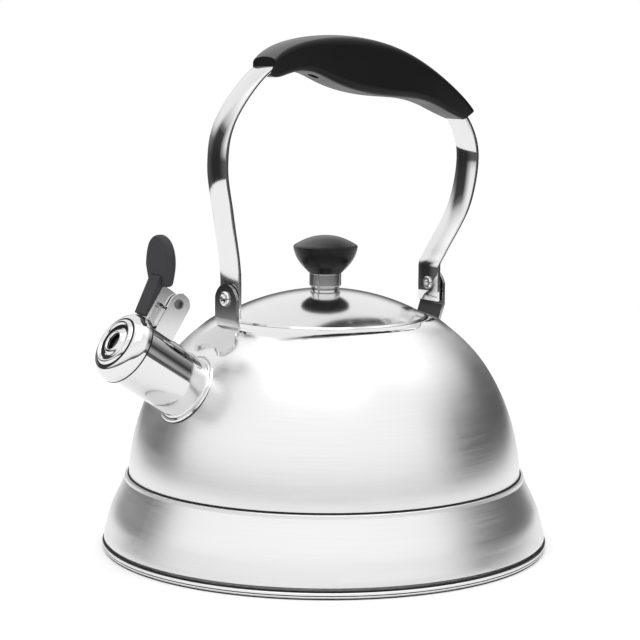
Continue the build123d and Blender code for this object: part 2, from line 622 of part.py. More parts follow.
# The strap lies in a slot of the grip that a cover closes from below.
COVER_HALF = 6.5
COVER_T = 3.4
COVER_LINE = [(17.0, 233.4), (6.0, 230.2), (-8.0, 225.2), (-24.0, 221.6), (-44.0, 219.9)]
GRIP_SCREWS = [(8.0, 231.0), (-36.0, 220.3)]     # x and underside height
GRIP_SCREW_R = 1.5
SCREW_REACH = 11.5       # threaded length above the head

with BuildPart() as cover_block:
    with BuildSketch(Plane.XZ):
        with BuildLine():
            Spline(*[(x, z + COVER_T) for x, z in COVER_LINE])
            Polyline((-44.0, 219.9 + COVER_T), (-44.0, 205), (17.0, 205), (17.0, 233.4 + COVER_T))
        make_face()
    extrude(amount=COVER_HALF, both=True)

with BuildPart() as grip_screws:
    for x, under in GRIP_SCREWS:
        with BuildSketch(Plane.XY.offset(under + 1.0)):
            with Locations((x, 0)):
                Circle(2.7)
        extrude(amount=1.4)
        with BuildSketch(Plane.XY.offset(under + 2.4)):
            with Locations((x, 0)):
                Circle(GRIP_SCREW_R)
        extrude(amount=SCREW_REACH)

with BuildPart() as screw_room:
    for x, under in GRIP_SCREWS:
        with BuildSketch(Plane.XY.offset(under - 6)):
            with Locations((x, 0)):
                Circle(2.7)
        extrude(amount=8.4)
        with BuildSketch(Plane.XY.offset(under)):
            with Locations((x, 0)):
                Circle(GRIP_SCREW_R)
        extrude(amount=2.4 + SCREW_REACH)

with BuildPart() as grip_cover:
    add(grip_body.part)
    add(cover_block.part, mode=Mode.INTERSECT)
    add(handle_strap.part, mode=Mode.SUBTRACT)
    add(screw_room.part, mode=Mode.SUBTRACT)
save(grip_cover, "grip_cover")

with BuildPart() as grip:
    add(grip_body.part)
    add(cover_block.part, mode=Mode.SUBTRACT)
    add(handle_strap.part, mode=Mode.SUBTRACT)
    add(screw_room.part, mode=Mode.SUBTRACT)
save(grip, "grip")
save(grip_screws, "grip_screws")

handle_strap.part = handle_strap.part - screw_room.part
save(handle_strap, "handle_strap")
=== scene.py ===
"""Looks of a stovetop whistling kettle, laid out as an add-on and run as a script.

Metres, +Z up, +X towards the spout, origin at the middle of the base's underside.
Outlines are in millimetres, as (radius, height) or (x, height) points."""

from math import cos, pi, radians, sin

import bpy
from bpy.props import FloatProperty, FloatVectorProperty, PointerProperty
from bpy.types import Operator, Panel, PropertyGroup
from mathutils import Matrix, Vector


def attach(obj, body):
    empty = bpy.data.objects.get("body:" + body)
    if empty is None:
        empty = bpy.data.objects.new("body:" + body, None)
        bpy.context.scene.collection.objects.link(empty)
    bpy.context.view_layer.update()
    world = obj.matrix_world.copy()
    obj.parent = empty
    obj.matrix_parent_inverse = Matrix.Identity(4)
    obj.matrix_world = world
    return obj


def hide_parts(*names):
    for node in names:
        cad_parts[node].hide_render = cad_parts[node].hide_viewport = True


bl_info = {
    "name": "Whistling Kettle",
    "version": (1, 0, 0),
    "blender": (4, 5, 0),
    "location": "3D View > Sidebar > Kettle",
    "description": "Models and finishes a stovetop whistling kettle round its packed frame",
    "category": "Object",
}

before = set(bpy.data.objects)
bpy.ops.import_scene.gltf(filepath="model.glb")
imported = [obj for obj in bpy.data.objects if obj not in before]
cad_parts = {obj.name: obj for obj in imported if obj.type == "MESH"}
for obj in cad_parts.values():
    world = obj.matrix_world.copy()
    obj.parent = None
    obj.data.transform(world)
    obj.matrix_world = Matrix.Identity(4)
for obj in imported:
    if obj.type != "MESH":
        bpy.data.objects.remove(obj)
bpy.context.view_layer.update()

MM = 0.001
UP = Vector((0, 0, 1))
SPOUT_TILT = radians(33.5)
SPOUT_ORIGIN = Vector((0, 0, 0.0315))
MOUTH = 135.0            # distance along the spout axis to the cap's rim, mm

# Outlines of the black rings of painted shade, as (radius, height): painted shade in the seam, in the rim
# band's joint and groove and in the gap round the lid, and a painted contact shadow under the base. The
# radius is counted from the seam's, the base's or the lid's, and the seam ring's height from the seam.
SEAM_RADIUS = 97.45
SEAM_SHADE = [(-0.95, -0.2), (-0.15, -0.1), (0.0, 0.2), (-0.25, 0.55), (-0.85, 0.75), (-1.15, 0.3)]
RIM_JOINT_SHADE = [(-1.2, 3.3), (-0.35, 3.38), (-0.15, 3.55), (-0.45, 3.8), (-1.2, 3.9)]
RIM_GROOVE_SHADE = [(-0.7, 1.6), (-0.12, 1.62), (-0.05, 1.9), (-0.12, 2.18), (-0.7, 2.2)]
CONTACT_SHADOW = [(-2.4, 0.02), (-0.95, 0.02), (-0.6, 0.3), (-0.72, 0.72), (-2.4, 0.7)]
LID_GAP_SHADE = [(0.75, 111.6), (1.35, 111.6), (1.42, 113.5), (1.15, 113.75), (0.9, 113.5)]

# Outlines on the spout: the flange's from the kettle's axis, the cap's from its rim, as (radius, distance).
# The first four are black rings of painted shade: at the flange's edge, under the cap's rim and in the cap's
# bead and dish grooves.
FLANGE_SHADE = [(17.3, 95.9), (17.95, 95.9), (18.05, 96.2), (17.95, 96.5), (17.3, 96.5)]
CAP_RIM_SHADOW = [(16.2, -0.35), (16.95, -0.38), (17.12, -0.1), (17.06, 0.35), (16.2, 0.3)]
CAP_BEAD_SHADE = [(11.75, 7.6), (12.1, 7.52), (12.75, 7.5), (12.7, 7.62), (12.15, 7.78), (11.8, 7.9)]
CAP_DISH_SHADE = [(7.5, 7.62), (8.0, 7.4), (8.7, 7.7), (9.0, 8.1), (8.7, 8.0), (8.0, 7.72)]
CAP_BAND = [(17.0, 1.6), (16.6, 3.6), (15.4, 5.8), (13.6, 7.3), (12.0, 7.6)]
CAP_BEAD = [(12.0, 7.6), (11.5, 8.3), (10.9, 8.9), (10.3, 9.1), (9.6, 8.8), (9.0, 8.1)]
CAP_DISH = [(9.0, 8.1), (8.0, 7.5), (6.9, 7.9), (5.9, 8.7), (5.0, 9.2), (4.5, 9.1), (4.2, 8.5)]
CAP_INSIDE = [(4.2, 7.6), (5.0, 7.6), (6.5, 6.6), (8.6, 6.6), (10.4, 7.6), (12.2, 6.5), (14.6, 5.2),
              (15.9, 2.8), (16.2, 0.0)]

# The strap's outer face, as (x, height), from the front rivet over the grip to the rear one.
STRAP_OUTER = [(56.4, 134.0), (60.4, 164.5), (63.8, 189.0), (59.3, 210.6), (40.8, 232.9), (22.0, 240.2),
               (0.0, 242.6), (-30.0, 239.2), (-60.0, 227.4), (-76.5, 217.0), (-87.6, 202.2), (-90.4, 186.0),
               (-84.6, 162.8), (-70.4, 141.2), (-66.3, 133.5)]
STRAP_FOOT = (116.8, 122.0, 128.0)      # heights of the straight stretch at each end
STRAP_EDGE = 0.00035                    # rounding of the strap's edges, m

RING_SEGMENTS = 192
TRIM_SEGMENTS = 128
LID_SEGMENTS = 160
LINE_ANGLE = 60.0        # a line's edges stay smooth below this many degrees
CAP_ANGLE = 34.0
STRAP_ANGLE = 32.0

# Finishes, lengths in metres.
POLISHED_TO = 0.0555     # the dome is polished inside this radius
SATIN_FROM = 0.0625      # and satin outside this one
EAR_FOOT = 0.1145        # height where a bracket's ear begins
SHEEN_FACING = (0.55, -0.10, 0.83)      # painted sheen: the black mouldings are coloured lighter on faces turned this way
TRIM_ROUGHER = 0.05      # how much rougher the trim and the lid are than the polished steel
LID_ROUGHER = 0.07
BRUSH_ROUND = 2.2        # how fast the brushing changes round the kettle, and across it
BRUSH_ACROSS = 900.0
FOOT_SHADE = 0.80        # painted shade: how bright a bracket's foot and ear are coloured against the polished steel
EAR_SHADE = 0.34
EAR_BLEND = 0.0015       # the painted shade changes this far to each side of the ear's foot
SHADED_STEEL = (0.20, 0.20, 0.20)
ALUMINIUM = (0.75, 0.75, 0.76)
BRASS = (0.72, 0.56, 0.28)
BLACK_COAT_IOR = 1.35
BLACK_COAT_ROUGHNESS = 0.26
BLACK_SPECULAR = 0.14

# Camera: where it stands, the way it looks and its lens.
CAMERA_PLACE = Vector((0.5874, 0.8085, 0.2488))
CAMERA_AWAY = Vector((-0.5878, -0.8090, 0))
CAMERA_PITCH = 0.1366
CAMERA_PAN = 0.00254
CAMERA_ROLL = 0.006
CAMERA_LENS = 115.25
CAMERA_REACH = 60

# Stage: the pale floor, and the overhead light's place, side and power.
FLOOR_RADIUS = 0.90
FLOOR_GLOW = 0.06
FLOOR_LOW = (0.86, 0.86, 0.86)
FLOOR_HIGH = (0.90, 0.90, 0.90)
OVERHEAD_PLACE = (0.3, 0.3, 1.9)
OVERHEAD_SIDE = 1.6
OVERHEAD_POWER = 7
# Brightness of the room, as (rise above the horizon, grey): the side walls, the sweep behind and the front.
BRIGHTEST = 2.0          # the curves hold each grey divided by this
WALL_GREY = [(0.0, 0.03), (0.30, 0.06), (0.38, 0.22), (0.45, 0.60), (0.60, 1.0)]
SWEEP_GREY = [(0.0, 0.09), (0.14, 0.22), (0.26, 0.85), (0.36, 1.05), (1.0, 1.0)]
FRONT_GREY = [(0.0, 0.12), (0.04, 0.65), (0.14, 1.05), (0.40, 1.15), (1.0, 1.0)]
TO_THE_RIGHT = (-0.8090, 0.5878, 0)
SIDES_MEET = 0.1         # the left and right halves blend this far to each side of the middle
# Where the sweep and the front begin and end, as the cosine from CAMERA_AWAY, on the left and on the right.
SWEEP_LEFT = (0.50, 0.64)
SWEEP_RIGHT = (0.84, 0.975)
FRONT_LEFT = (0.22, 0.0)
FRONT_RIGHT = (0.0, -0.4)


# ---- sizes and colours ---------------------------------------------------
class KettleFinish(PropertyGroup):
    """Colours and roughness of the kettle's finishes."""

    satin: FloatVectorProperty(
        name="Satin steel", description="Colour of the satin-brushed shell", subtype="COLOR",
        size=3, min=0, max=1, default=(0.80, 0.80, 0.80))
    bright: FloatVectorProperty(
        name="Bright steel", description="Colour of the mirror-polished steel", subtype="COLOR",
        size=3, min=0, max=1, default=(0.75, 0.75, 0.75))
    plain: FloatVectorProperty(
        name="Plain steel", description="Colour of the plain sheet pieces", subtype="COLOR",
        size=3, min=0, max=1, default=(0.60, 0.60, 0.60))
    black: FloatVectorProperty(
        name="Soft black", description="Colour of the grip, knob and thumb lever", subtype="COLOR",
        size=3, min=0, max=1, default=(0.007, 0.007, 0.0073))
    satin_roughness: FloatProperty(
        name="Satin roughness", description="Roughness of the brushed shell",
        min=0, max=1, default=0.33)
    bright_roughness: FloatProperty(
        name="Polished roughness", description="Roughness of the polished steel",
        min=0, max=1, default=0.07)


class KettleSizes(PropertyGroup):
    """Sizes that the shell and its trim are turned to."""

    base_radius: FloatProperty(
        name="Base radius", description="Widest radius, at the rim band", unit="LENGTH",
        min=0.05, default=0.110)
    seam_height: FloatProperty(
        name="Seam height", description="Height of the seam between the two shells", unit="LENGTH",
        min=0.01, default=0.0362)
    lid_radius: FloatProperty(
        name="Lid radius", description="Radius of the lid's edge", unit="LENGTH",
        min=0.01, default=0.0494)
    strap_width: FloatProperty(
        name="Strap width", description="Width of the handle's steel strap", unit="LENGTH",
        min=0.005, default=0.016)
    strap_thickness: FloatProperty(
        name="Strap thickness", description="Thickness of the handle's steel strap", unit="LENGTH",
        min=0.0005, default=0.0018)


# ---- drawing tools ---------------------------------------------------------
def through(points, steps=6, first=None, last=None):
    """Points of a smooth curve through the given points; first and last are the end directions."""
    points = [Vector(p) for p in points]
    reach_first = (points[1] - points[0]).length
    reach_last = (points[-1] - points[-2]).length
    before = points[1] - Vector(first).normalized() * 2 * reach_first if first else points[0]
    after = points[-2] + Vector(last).normalized() * 2 * reach_last if last else points[-1]
    chain = [before] + points + [after]
    curve = []
    for index in range(1, len(chain) - 2):
        p0, p1, p2, p3 = chain[index - 1:index + 3]
        for step in range(steps):
            t = step / steps
            curve.append(0.5 * (2 * p1 + (p2 - p0) * t + (2 * p0 - 5 * p1 + 4 * p2 - p3) * t * t
                                + (3 * p1 - p0 - 3 * p2 + p3) * t**3))
    return [tuple(p) for p in curve] + [tuple(points[-1])]


def new_outline(name, points):
    """A mesh of one open outline in the XZ plane, drawn by extruding a single corner."""
    bpy.ops.object.select_all(action="DESELECT")
    x, z = points[0]
    bpy.ops.mesh.primitive_plane_add(size=MM, location=(x * MM, 0, z * MM))
    piece = bpy.context.object
    piece.name = name
    piece.data.name = name
    bpy.ops.object.transform_apply(location=True, rotation=True, scale=True)
    bpy.ops.object.mode_set(mode="EDIT")
    bpy.ops.mesh.select_mode(type="VERT")
    bpy.ops.mesh.select_all(action="SELECT")
    bpy.ops.mesh.merge(type="CENTER")
    for (x0, z0), (x1, z1) in zip(points, points[1:]):
        bpy.ops.mesh.extrude_vertices_move(
            TRANSFORM_OT_translate={"value": ((x1 - x0) * MM, 0, (z1 - z0) * MM)})
    return piece


def turned(name, points, segments=160, smooth_angle=28.0):
    """A solid or shell turned about +Z from an outline of (radius, height) points."""
    piece = new_outline(name, points)
    bpy.ops.mesh.select_all(action="SELECT")
    bpy.ops.mesh.spin(steps=segments, angle=2 * pi, center=(0, 0, 0), axis=(0, 0, 1))
    bpy.ops.mesh.select_all(action="SELECT")
    bpy.ops.mesh.remove_doubles(threshold=1e-6)
    bpy.ops.mesh.dissolve_degenerate(threshold=1e-7)
    bpy.ops.mesh.normals_make_consistent(inside=False)
    bpy.ops.object.mode_set(mode="OBJECT")
    smooth(piece, smooth_angle)
    return piece


def smooth(piece, angle=28.0):
    """Smooth shading with crisp edges above an angle."""
    bpy.ops.object.select_all(action="DESELECT")
    piece.select_set(True)
    bpy.context.view_layer.objects.active = piece
    bpy.ops.object.shade_smooth_by_angle(angle=radians(angle))


def onto_spout(piece):
    """Moves a piece turned about +Z so that its axis is the spout's."""
    tilt = Matrix.Rotation(pi / 2 - SPOUT_TILT, 4, "Y")
    piece.matrix_world = Matrix.Translation(SPOUT_ORIGIN) @ tilt
    bpy.ops.object.select_all(action="DESELECT")
    piece.select_set(True)
    bpy.context.view_layer.objects.active = piece
    bpy.ops.object.transform_apply(location=True, rotation=True, scale=True)
    return piece


def finished(piece, body, replaced, material):
    """Gives a piece its material, its body and the nodes that it stands for."""
    piece.data.materials.clear()
    piece.data.materials.append(material)
    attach(piece, body)
    if replaced:
        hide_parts(*replaced)


def closed(points):
    """The outline with its first point again at its end."""
    return list(points) + [points[0]]


def shifted(points, radius, height):
    """The outline moved out by a radius and up by a height, in millimetres."""
    return [(radius + r, height + z) for r, z in points]


def shade_ring(name, points, body, segments, on_spout=False):
    """A thin black ring of painted shade, turned from a closed outline round the kettle's axis or the
    spout's.
    """
    ring = turned(name, closed(points), segments, LINE_ANGLE)
    if on_spout:
        onto_spout(ring)
    finished(ring, body, [], material_of("painted_shade_black"))


# ---- materials -------------------------------------------------------------
def new_material(name):
    """A material with its Principled shader, as (material, tree, shader)."""
    material = bpy.data.materials.new(name)
    material.use_nodes = True
    shader = material.node_tree.nodes["Principled BSDF"]
    return material, material.node_tree, shader


def add_node(tree, kind, **settings):
    """Adds a node and sets its properties."""
    node = tree.nodes.new(kind)
    for key, value in settings.items():
        setattr(node, key, value)
    return node


def noise(tree, vector, scale, detail=3.0, roughness=0.55):
    """A noise texture's output at that scale."""
    node = add_node(tree, "ShaderNodeTexNoise")
    node.inputs["Scale"].default_value = scale
    node.inputs["Detail"].default_value = detail
    node.inputs["Roughness"].default_value = roughness
    tree.links.new(vector, node.inputs["Vector"])
    return node.outputs["Fac"]


def spread(tree, value, low, high, to_low, to_high):
    """Maps a value from one range to another."""
    node = add_node(tree, "ShaderNodeMapRange")
    for key, number in zip(("From Min", "From Max", "To Min", "To Max"), (low, high, to_low, to_high)):
        node.inputs[key].default_value = number
    tree.links.new(value, node.inputs["Value"])
    return node.outputs["Result"]


def arithmetic(tree, operation, a, b):
    """A math node of two sockets or numbers."""
    node = add_node(tree, "ShaderNodeMath", operation=operation)
    for socket, value in zip(node.inputs, (a, b)):
        if isinstance(value, (int, float)):
            socket.default_value = value
        else:
            tree.links.new(value, socket)
    return node.outputs[0]


def bump(tree, shader, height, strength, distance):
    """Fine relief on the shader's normal."""
    node = add_node(tree, "ShaderNodeBump")
    node.inputs["Strength"].default_value = strength
    node.inputs["Distance"].default_value = distance
    tree.links.new(height, node.inputs["Height"])
    tree.links.new(node.outputs["Normal"], shader.inputs["Normal"])


def shade(tree, shader, value, low, high):
    """Base colour that runs between two greys with a value."""
    ramp = add_node(tree, "ShaderNodeValToRGB")
    ramp.color_ramp.elements[0].color = (*low, 1)
    ramp.color_ramp.elements[1].color = (*high, 1)
    tree.links.new(value, ramp.inputs["Fac"])
    tree.links.new(ramp.outputs["Color"], shader.inputs["Base Color"])


def ring_coordinates(tree):
    """Object coordinates wound round the kettle axis: the pattern runs in rings. Also gives the radius."""
    place = add_node(tree, "ShaderNodeTexCoord").outputs["Object"]
    split = add_node(tree, "ShaderNodeSeparateXYZ")
    tree.links.new(place, split.inputs[0])
    flat = add_node(tree, "ShaderNodeCombineXYZ")
    tree.links.new(split.outputs["X"], flat.inputs["X"])
    tree.links.new(split.outputs["Y"], flat.inputs["Y"])
    length = add_node(tree, "ShaderNodeVectorMath", operation="LENGTH")
    tree.links.new(flat.outputs[0], length.inputs[0])
    radius = length.outputs["Value"]
    along = arithmetic(tree, "SUBTRACT", split.outputs["Z"], radius)
    unit = add_node(tree, "ShaderNodeVectorMath", operation="NORMALIZE")
    tree.links.new(flat.outputs[0], unit.inputs[0])
    turned_split = add_node(tree, "ShaderNodeSeparateXYZ")
    tree.links.new(unit.outputs[0], turned_split.inputs[0])
    wound = add_node(tree, "ShaderNodeCombineXYZ")
    tree.links.new(arithmetic(tree, "MULTIPLY", turned_split.outputs["X"], BRUSH_ROUND), wound.inputs["X"])
    tree.links.new(arithmetic(tree, "MULTIPLY", turned_split.outputs["Y"], BRUSH_ROUND), wound.inputs["Y"])
    tree.links.new(arithmetic(tree, "MULTIPLY", along, BRUSH_ACROSS), wound.inputs["Z"])
    return place, wound.outputs[0], radius


def lighter(colour, factor):
    """A colour made lighter or darker."""
    return tuple(min(1.0, channel * factor) for channel in colour)


def satin_steel(name, finish, polished_to=0.0, satin_from=0.0):
    """Satin steel brushed in rings: mirror-bright inside one radius, satin beyond the other."""
    material, tree, shader = new_material(name)
    place, wound, radius = ring_coordinates(tree)
    brushing = noise(tree, wound, 1.0, 2.0, 0.6)
    cloud = noise(tree, place, 14.0, 2.0)
    shader.inputs["Metallic"].default_value = 1.0
    shade(tree, shader, brushing, lighter(finish.satin, 0.955), lighter(finish.satin, 1.04))
    rough = spread(tree, brushing, 0.3, 0.7, finish.satin_roughness - 0.03, finish.satin_roughness + 0.03)
    rough = arithmetic(tree, "ADD", rough, spread(tree, cloud, 0.3, 0.7, -0.012, 0.012))
    if satin_from:
        blend = spread(tree, radius, polished_to, satin_from, 0.0, 1.0)
        satin = arithmetic(tree, "MULTIPLY", rough, blend)
        rest = arithmetic(tree, "SUBTRACT", 1.0, blend)
        mirror = arithmetic(tree, "MULTIPLY", rest, finish.bright_roughness)
        rough = arithmetic(tree, "ADD", satin, mirror)
    tree.links.new(rough, shader.inputs["Roughness"])
    bump(tree, shader, brushing, 0.05, 0.00004)
    return material


def bright_steel(name, finish, roughness_shift=0.0, painted_shade_above=0.0):
    """Mirror-polished steel with faint wipe marks, and painted shade, a darker colour above a height, if one
    is given.
    """
    material, tree, shader = new_material(name)
    place = add_node(tree, "ShaderNodeTexCoord").outputs["Object"]
    wipes = noise(tree, place, 38.0, 4.0)
    fine = noise(tree, place, 900.0, 2.0)
    shader.inputs["Metallic"].default_value = 1.0
    # painted shade: the colour turns darker above the given height
    if painted_shade_above:
        split = add_node(tree, "ShaderNodeSeparateXYZ")
        tree.links.new(place, split.inputs[0])
        painted_shade_mask = spread(tree, split.outputs["Z"], painted_shade_above - EAR_BLEND, painted_shade_above + EAR_BLEND, 0.0, 1.0)
        shade(tree, shader, painted_shade_mask, lighter(finish.bright, FOOT_SHADE), lighter(finish.bright, EAR_SHADE))
    else:
        shade(tree, shader, wipes, lighter(finish.bright, 0.975), lighter(finish.bright, 1.02))
    base = finish.bright_roughness + roughness_shift
    rough = spread(tree, wipes, 0.3, 0.7, base - 0.015, base + 0.02)
    tree.links.new(rough, shader.inputs["Roughness"])
    bump(tree, shader, fine, 0.02, 0.00002)
    return material


def plain_metal(name, colour, roughness, scale):
    """Sheet or turned metal as it comes from the tool, with fine mottling."""
    material, tree, shader = new_material(name)
    place = add_node(tree, "ShaderNodeTexCoord").outputs["Object"]
    grain = noise(tree, place, scale, 4.0)
    shader.inputs["Metallic"].default_value = 1.0
    shade(tree, shader, grain, lighter(colour, 0.9), lighter(colour, 1.06))
    rough = spread(tree, grain, 0.3, 0.7, roughness - 0.05, roughness + 0.05)
    tree.links.new(rough, shader.inputs["Roughness"])
    bump(tree, shader, grain, 0.08, 0.00005)
    return material


def soft_black(name, finish, roughness, gloss, top=0.0):
    """Soft-touch moulding with a fine grain, and if a grey is given for it, a painted sheen: lighter on faces
    turned one way.
    """
    material, tree, shader = new_material(name)
    place = add_node(tree, "ShaderNodeTexCoord").outputs["Object"]
    grain = noise(tree, place, 2600.0, 3.0)
    wear = noise(tree, place, 30.0, 3.0)
    if top:
        # painted sheen on the faces turned towards the light
        facing = add_node(tree, "ShaderNodeVectorMath", operation="DOT_PRODUCT")
        facing.inputs[1].default_value = SHEEN_FACING
        tree.links.new(add_node(tree, "ShaderNodeTexCoord").outputs["Normal"], facing.inputs[0])
        sheen_mask = spread(tree, facing.outputs["Value"], 0.70, 0.99, 0.0, 1.0)
        shade(tree, shader, sheen_mask, finish.black, (top, top, top))
    else:
        shade(tree, shader, wear, lighter(finish.black, 0.85), lighter(finish.black, 1.2))
    rough = spread(tree, wear, 0.3, 0.7, roughness - 0.04, roughness + 0.04)
    tree.links.new(rough, shader.inputs["Roughness"])
    shader.inputs["Specular IOR Level"].default_value = BLACK_SPECULAR
    shader.inputs["Coat Weight"].default_value = gloss
    shader.inputs["Coat Roughness"].default_value = BLACK_COAT_ROUGHNESS
    shader.inputs["Coat IOR"].default_value = BLACK_COAT_IOR
    bump(tree, shader, grain, 0.16, 0.00006)
    return material


def material_of(name):
    """A material by name; the finishes operator makes them all."""
    return bpy.data.materials[name]


# ---- operators ---------------------------------------------------------------
class KETTLE_OT_finishes(Operator):
    """Make every material and put the right one on each node of the frame"""

    bl_idname = "kettle.finishes"
    bl_label = "Finishes"

    def execute(self, context):
        finish = context.scene.kettle_finish
        satin_steel("satin_shell", finish, POLISHED_TO, SATIN_FROM)
        satin_steel("satin_skirt", finish)
        bright_steel("bright_steel", finish)
        bright_steel("bright_trim", finish, TRIM_ROUGHER)
        bright_steel("bright_lid", finish, LID_ROUGHER)
        plain_metal("shaded_steel", SHADED_STEEL, 0.35, 500.0)
        plain_metal("plain_steel", finish.plain, 0.30, 500.0)
        plain_metal("formed_steel", finish.bright, 0.20, 700.0)
        plain_metal("spring_wire", finish.plain, 0.28, 900.0)
        plain_metal("aluminium_plate", ALUMINIUM, 0.42, 260.0)
        plain_metal("turned_brass", BRASS, 0.26, 800.0)
        # the brackets get painted shade: ears coloured darker than their feet, both darker than the polished
        # steel
        bright_steel("bracket_painted_shade", finish, TRIM_ROUGHER, EAR_FOOT)
        soft_black("soft_black", finish, 0.37, 0.45)
        # the grip and the knob get a painted sheen: a lighter grey on their faces turned towards the light
        soft_black("grip_black", finish, 0.37, 0.16, 0.10)
        soft_black("satin_black", finish, 0.30, 0.16, 0.07)
        # black for the rings of painted shade in gaps and grooves
        soft_black("painted_shade_black", finish, 0.6, 0.1)
        wears = {
            "satin_shell": ("upper_dome",),
            "satin_skirt": ("lower_skirt", "base_cap"),
            "bright_lid": ("lid_dome",),
            "bright_steel": ("spout_tube", "whistle_cap", "handle_strap"),
            "shaded_steel": ("lid_collar", "hinge_pin", "whistle_plate"),
            "bracket_painted_shade": ("front_bracket", "rear_bracket"),
            "bright_trim": ("spout_flange", "knob_ferrule", "knob_washer",
                            "front_rivet", "rear_rivet", "hinge_bracket", "lever_plate"),
            "plain_steel": ("lid_skirt", "whistle_cup", "front_washer", "rear_washer",
                            "lid_screw_washer"),
            "formed_steel": ("knob_screw", "grip_screws"),
            "spring_wire": ("return_spring",),
            "aluminium_plate": ("heat_disc",),
            "turned_brass": ("knob_insert",),
            "soft_black": ("thumb_lever",),
            "grip_black": ("grip", "grip_cover"),
            "satin_black": ("knob",),
        }
        for material, names in wears.items():
            for name in names:
                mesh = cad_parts[name].data
                mesh.materials.clear()
                mesh.materials.append(material_of(material))
        return {"FINISHED"}


class KETTLE_OT_seam(Operator):
    """Run a black ring of painted shade along the folded seam between the two shells"""

    bl_idname = "kettle.seam"
    bl_label = "Seam"

    def execute(self, context):
        height = context.scene.kettle_sizes.seam_height / MM
        shade_ring("seam_shade", shifted(SEAM_SHADE, SEAM_RADIUS, height), "body", RING_SEGMENTS)
        return {"FINISHED"}


class KETTLE_OT_rim(Operator):
    """Run black rings of painted shade in the rim band's joint and groove, and a painted contact shadow under
    the base
    """

    bl_idname = "kettle.rim"
    bl_label = "Rim Lines"

    def execute(self, context):
        reach = context.scene.kettle_sizes.base_radius / MM
        for name, line in (("rim_joint_shade", RIM_JOINT_SHADE), ("rim_groove_shade", RIM_GROOVE_SHADE), ("contact_shadow", CONTACT_SHADOW)):
            shade_ring(name, shifted(line, reach, 0), "body", RING_SEGMENTS)
        return {"FINISHED"}


class KETTLE_OT_gaps(Operator):
    """Lay black rings of painted shade in the gap round the lid, at the edge of the flange, under the whistle
    cap's rim and in its grooves
    """

    bl_idname = "kettle.gaps"
    bl_label = "Gap Lines"

    def execute(self, context):
        reach = context.scene.kettle_sizes.lid_radius / MM
        shade_ring("lid_gap_shade", shifted(LID_GAP_SHADE, reach, 0), "body", LID_SEGMENTS)
        shade_ring("flange_shade", FLANGE_SHADE, "body", TRIM_SEGMENTS, on_spout=True)
        cap_shades = {"cap_rim_shadow": CAP_RIM_SHADOW, "cap_bead_shade": CAP_BEAD_SHADE, "cap_dish_shade": CAP_DISH_SHADE}
        for name, line in cap_shades.items():
            shade_ring(name, shifted(line, 0, MOUTH), "spout_cap", TRIM_SEGMENTS, on_spout=True)
        return {"FINISHED"}


class KETTLE_OT_whistle_cap(Operator):
    """Turn the pressed whistle cap with its rolled band, bead and whistle hole"""

    bl_idname = "kettle.whistle_cap"
    bl_label = "Whistle Cap"

    def execute(self, context):
        band = through(CAP_BAND, 5, first=(0, 1), last=(-1, 0))
        bead = through(CAP_BEAD, 4)
        dish = through(CAP_DISH, 4)
        outside = [(CAP_BAND[0][0], 0.0)] + band + bead[1:] + dish[1:]
        outline = shifted(outside + CAP_INSIDE, 0, MOUTH)
        cap = turned("whistle_cap_pressed", closed(outline), TRIM_SEGMENTS, CAP_ANGLE)
        onto_spout(cap)
        finished(cap, "spout_cap", ["whistle_cap"], material_of("bright_steel"))
        return {"FINISHED"}


class KETTLE_OT_strap(Operator):
    """Bend the handle's steel strap through the grip and down to both rivets"""

    bl_idname = "kettle.strap"
    bl_label = "Handle Strap"

    def execute(self, context):
        sizes = context.scene.kettle_sizes
        arch = through(STRAP_OUTER, 8, first=(0, 1), last=(0, -1))
        path = [(STRAP_OUTER[0][0], z) for z in STRAP_FOOT] + arch
        path += [(STRAP_OUTER[-1][0], z) for z in reversed(STRAP_FOOT)]
        half = sizes.strap_width / 2
        strap = new_outline("strap_bent", path)
        bpy.ops.mesh.select_all(action="SELECT")
        bpy.ops.transform.translate(value=(0, -half, 0))
        bpy.ops.mesh.extrude_edges_move(TRANSFORM_OT_translate={"value": (0, 2 * half, 0)})
        bpy.ops.mesh.select_all(action="SELECT")
        bpy.ops.mesh.normals_make_consistent(inside=False)
        bpy.ops.object.mode_set(mode="OBJECT")
        mesh = strap.data
        front = max(mesh.polygons, key=lambda face: face.center.x)
        if front.normal.x < 0:
            bpy.ops.object.mode_set(mode="EDIT")
            bpy.ops.mesh.select_all(action="SELECT")
            bpy.ops.mesh.flip_normals()
            bpy.ops.object.mode_set(mode="OBJECT")
        wall = strap.modifiers.new("wall", "SOLIDIFY")
        wall.thickness = sizes.strap_thickness
        wall.offset = -1
        wall.use_even_offset = True
        bpy.ops.object.modifier_apply(modifier=wall.name)
        edge = strap.modifiers.new("edge", "BEVEL")
        edge.width = STRAP_EDGE
        edge.segments = 2
        edge.limit_method = "ANGLE"
        edge.angle_limit = radians(50)
        bpy.ops.object.modifier_apply(modifier=edge.name)
        smooth(strap, STRAP_ANGLE)
        finished(strap, "handle", ["handle_strap"], material_of("bright_steel"))
        return {"FINISHED"}


